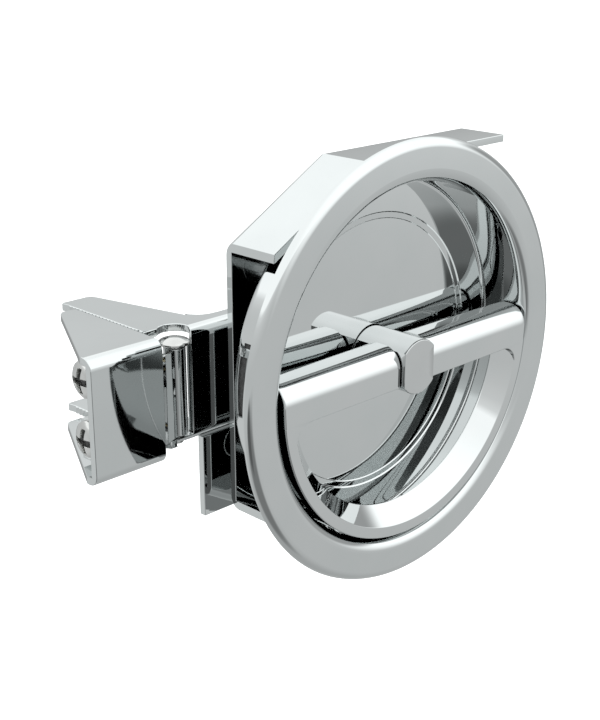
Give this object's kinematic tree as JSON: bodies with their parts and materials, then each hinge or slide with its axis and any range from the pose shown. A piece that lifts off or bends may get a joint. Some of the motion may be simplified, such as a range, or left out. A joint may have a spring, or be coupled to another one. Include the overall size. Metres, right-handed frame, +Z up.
{
  "type": "flush cam latch",
  "caption": "Flush round compartment latch: a folding pull ring in a polished dish turns a spindle that swings a channel cam arm with a hinged, screw-adjusted jaw.",
  "frame": {"origin": "on the spindle axis, in the plane of the flange's rear face, which seats on the front of the panel", "axes": "+Z up, +X to the right for someone who faces the pull ring, +Y into the panel; the ring and the flange's face look towards -Y"},
  "size_m": [0.1066, 0.0537, 0.0888],
  "materials": {
    "polished_dish": "mirror polished plating",
    "polished_ring": "mirror polished plating",
    "polished_spindle": "mirror polished plating",
    "polished_sheet": "polished folded sheet",
    "polished_arm": "polished folded sheet",
    "polished_jaw": "polished folded sheet",
    "polished_screws": "bright plated screw heads",
    "steel_pin": "bright ground steel",
    "turned_steel": "turned steel with fine rings",
    "spring_steel": "dull oil-blackened spring steel",
    "turned_brass": "turned bearing bronze",
    "black_rubber": "matt black rubber"
  },
  "bodies": {
    "housing": {"bezel_dish": "polished_dish", "spindle_bush": "turned_brass", "spacer_posts": "turned_steel", "back_bracket": "polished_sheet", "bracket_screws": "polished_screws", "stop_pins": "steel_pin", "arm_stop": "polished_sheet", "stop_rivets": "turned_steel"},
    "spindle_group": {"spindle": "polished_spindle", "spindle_seal": "black_rubber", "stop_washer": "turned_steel", "cam_arm": "polished_arm", "cam_washer": "turned_steel", "spring_washer": "spring_steel", "cam_nut": "turned_steel", "jaw_pin": "steel_pin"},
    "ring": {"pull_ring": "polished_ring", "ring_pivot_pin": "steel_pin"},
    "jaw": {"hinged_jaw": "polished_jaw", "upper_jaw_screw": "polished_screws", "lower_jaw_screw": "polished_screws"}
  },
  "joints": [
    {"name": "spindle_turn", "type": "hinge", "parent": "housing", "child": "spindle_group", "pos_m": [0, 0, 0], "axis": [0, 1, 0], "range_deg": [0, 90]},
    {"name": "ring_lift", "type": "hinge", "parent": "spindle_group", "child": "ring", "pos_m": [0, 0.00255, 0], "axis": [-1, 0, 0], "range_deg": [0, 90]},
    {"name": "jaw_swing", "type": "hinge", "parent": "spindle_group", "child": "jaw", "pos_m": [-0.0406, 0.02285, 0], "axis": [0, 0, 1], "range_deg": [0, 25]}
  ]
}
